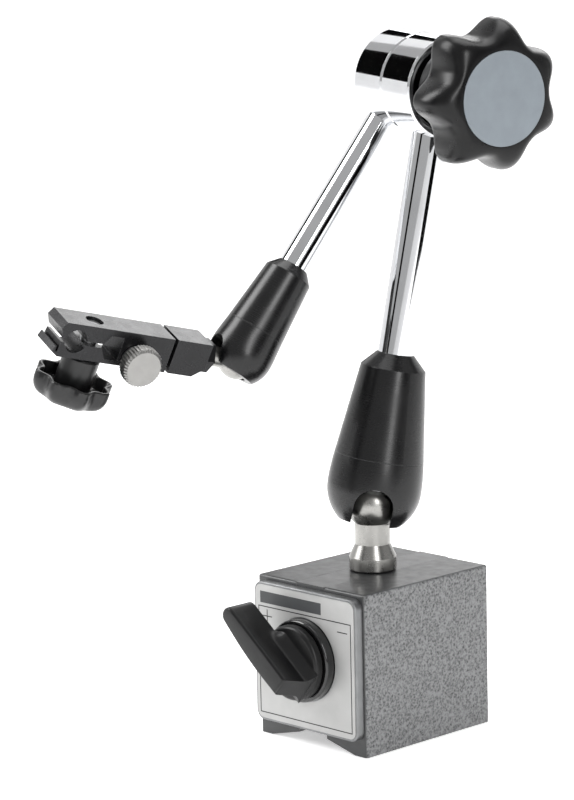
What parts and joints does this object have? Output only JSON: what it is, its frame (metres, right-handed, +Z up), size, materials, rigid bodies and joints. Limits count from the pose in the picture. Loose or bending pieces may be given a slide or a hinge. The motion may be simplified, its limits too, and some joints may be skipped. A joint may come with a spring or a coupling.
{
  "type": "magnetic base indicator stand",
  "caption": "Switchable magnetic base with two ball-jointed arms locked by an elbow knob, and an indicator holder with fine adjustment.",
  "frame": {"origin": "middle of the base's sole, midway between the feet", "axes": "+Z up, -Y towards the lever side, +X to the right of someone facing the lever"},
  "size_m": [0.1144, 0.1503, 0.2411],
  "materials": {
    "hammer_paint": "grey hammer paint",
    "smooth_paint": "smooth semi-gloss dark grey paint",
    "anodised_plate": "satin",
    "printed_foil": "silver-white printed foil",
    "gloss_plastic": "polished black moulding",
    "lever_plastic": "fine-grained black moulding",
    "magnet": "ground ferrite and steel",
    "plain_steel": "turned steel",
    "satin_steel": "satin nickel",
    "black_anodised": "black anodised, satin",
    "chrome": "mirror",
    "bearing_brass": "turned",
    "knob_plastic": "grained black moulding",
    "disc_aluminium": "satin grey",
    "clamp_plastic": "satin black moulding"
  },
  "bodies": {
    "base": {"pole_left": "hammer_paint", "pole_right": "hammer_paint", "spacer_bottom": "smooth_paint", "spacer_top": "smooth_paint", "rear_plate": "smooth_paint", "front_plate": "anodised_plate", "plate_screw_1": "plain_steel", "plate_screw_2": "plain_steel", "plate_screw_3": "plain_steel", "plate_screw_4": "plain_steel", "front_label": "printed_foil", "lever_ring": "gloss_plastic"},
    "magnet_lever": {"magnet_rotor": "magnet", "rotor_shaft": "plain_steel", "knob_pin": "plain_steel", "lever_knob": "lever_plastic"},
    "lower_stud": {"lower_ball_stud": "satin_steel"},
    "lower_cup": {"lower_pressure_cup": "plain_steel"},
    "lower_arm": {"lower_ball_cap": "black_anodised", "lower_sleeve": "black_anodised", "lower_tube": "chrome", "elbow_half_lower": "chrome", "thrust_washer": "bearing_brass"},
    "lower_rod": {"lower_push_rod": "plain_steel"},
    "clamp_bolt": {"clamp_bolt": "plain_steel"},
    "star_knob": {"star_knob": "knob_plastic", "knob_insert": "bearing_brass", "knob_disc": "disc_aluminium"},
    "upper_arm": {"elbow_half_upper": "chrome", "upper_tube": "chrome", "upper_sleeve": "black_anodised", "upper_ball_cap": "black_anodised", "upper_pressure_cup": "plain_steel"},
    "upper_rod": {"upper_push_rod": "plain_steel"},
    "holder_stud": {"upper_ball_stud": "satin_steel"},
    "rear_block": {"rear_block": "black_anodised", "lock_nut": "black_anodised"},
    "holder_block": {"holder_block": "black_anodised", "pivot_pin": "plain_steel"},
    "thumbscrew": {"thumbscrew": "satin_steel"},
    "clamp_knob": {"clamp_screw": "plain_steel", "clamp_knob": "clamp_plastic"}
  },
  "joints": [
    {"name": "lever_turn", "type": "hinge", "parent": "base", "child": "magnet_lever", "pos_m": [0, 0, 0.03], "axis": [0, 1, 0], "range_deg": [0, 90]},
    {"name": "stud_turn", "type": "hinge", "parent": "base", "child": "lower_stud", "pos_m": [0, 0, 0.078], "axis": [0, 0, 1], "continuous": true},
    {"name": "lower_tilt", "type": "hinge", "parent": "lower_stud", "child": "lower_cup", "pos_m": [0, 0, 0.078], "axis": [-0.8695, 0.4939, 0], "range_deg": [-32.3, 11.7]},
    {"name": "lower_twist", "type": "hinge", "parent": "lower_cup", "child": "lower_arm", "pos_m": [0, 0, 0.078], "axis": [0.0883, 0.1555, 0.9839], "continuous": true},
    {"name": "knob_turn", "type": "hinge", "parent": "lower_arm", "child": "star_knob", "pos_m": [0.0125, 0.022, 0.21722], "axis": [0.9662, -0.2535, -0.0467], "range_deg": [-180, 0]},
    {"name": "bolt_slide", "type": "slide", "parent": "lower_arm", "child": "clamp_bolt", "axis": [0.9662, -0.2535, -0.0467], "range_m": [-0.00075, 0]},
    {"name": "lower_rod_slide", "type": "slide", "parent": "lower_arm", "child": "lower_rod", "axis": [-0.0883, -0.1555, -0.9839], "range_m": [-0.0007, 0]},
    {"name": "elbow_hinge", "type": "hinge", "parent": "lower_arm", "child": "upper_arm", "pos_m": [0.0125, 0.022, 0.21722], "axis": [0.9662, -0.2535, -0.0467], "range_deg": [-244, 14]},
    {"name": "upper_rod_slide", "type": "slide", "parent": "upper_arm", "child": "upper_rod", "axis": [-0.1855, -0.5583, -0.8086], "range_m": [-0.0007, 0]},
    {"name": "holder_tilt", "type": "hinge", "parent": "upper_arm", "child": "holder_stud", "pos_m": [-0.02761, -0.03485, 0.1284], "axis": [-0.9662, 0.2535, 0.0467], "range_deg": [-89.7, 22.3]},
    {"name": "holder_roll", "type": "hinge", "parent": "holder_stud", "child": "rear_block", "pos_m": [-0.02761, -0.03485, 0.1284], "axis": [-0.214, -0.9483, 0.2346], "continuous": true},
    {"name": "fine_adjust", "type": "hinge", "parent": "rear_block", "child": "holder_block", "pos_m": [-0.03459, -0.06576, 0.13605], "axis": [0.3611, 0.1464, 0.921], "range_deg": [-2.5, 2.5]},
    {"name": "adjust_screw_turn", "type": "hinge", "parent": "holder_block", "child": "thumbscrew", "pos_m": [-0.03754, -0.07506, 0.13586], "axis": [0.9076, -0.2818, -0.3111], "range_deg": [-231, 231]},
    {"name": "clamp_screw_turn", "type": "hinge", "parent": "holder_block", "child": "clamp_knob", "pos_m": [-0.03981, -0.0889, 0.14178], "axis": [0.3611, 0.1464, 0.921], "range_deg": [-360, 0]}
  ],
  "couplings": [
    {"joint": "bolt_slide", "follows": "knob_turn", "m_per_rad": 0.00023873},
    {"joint": "lower_rod_slide", "follows": "knob_turn", "m_per_rad": 0.00022282},
    {"joint": "upper_rod_slide", "follows": "knob_turn", "m_per_rad": 0.00022282},
    {"joint": "adjust_screw_turn", "follows": "fine_adjust", "ratio": 92.4}
  ]
}
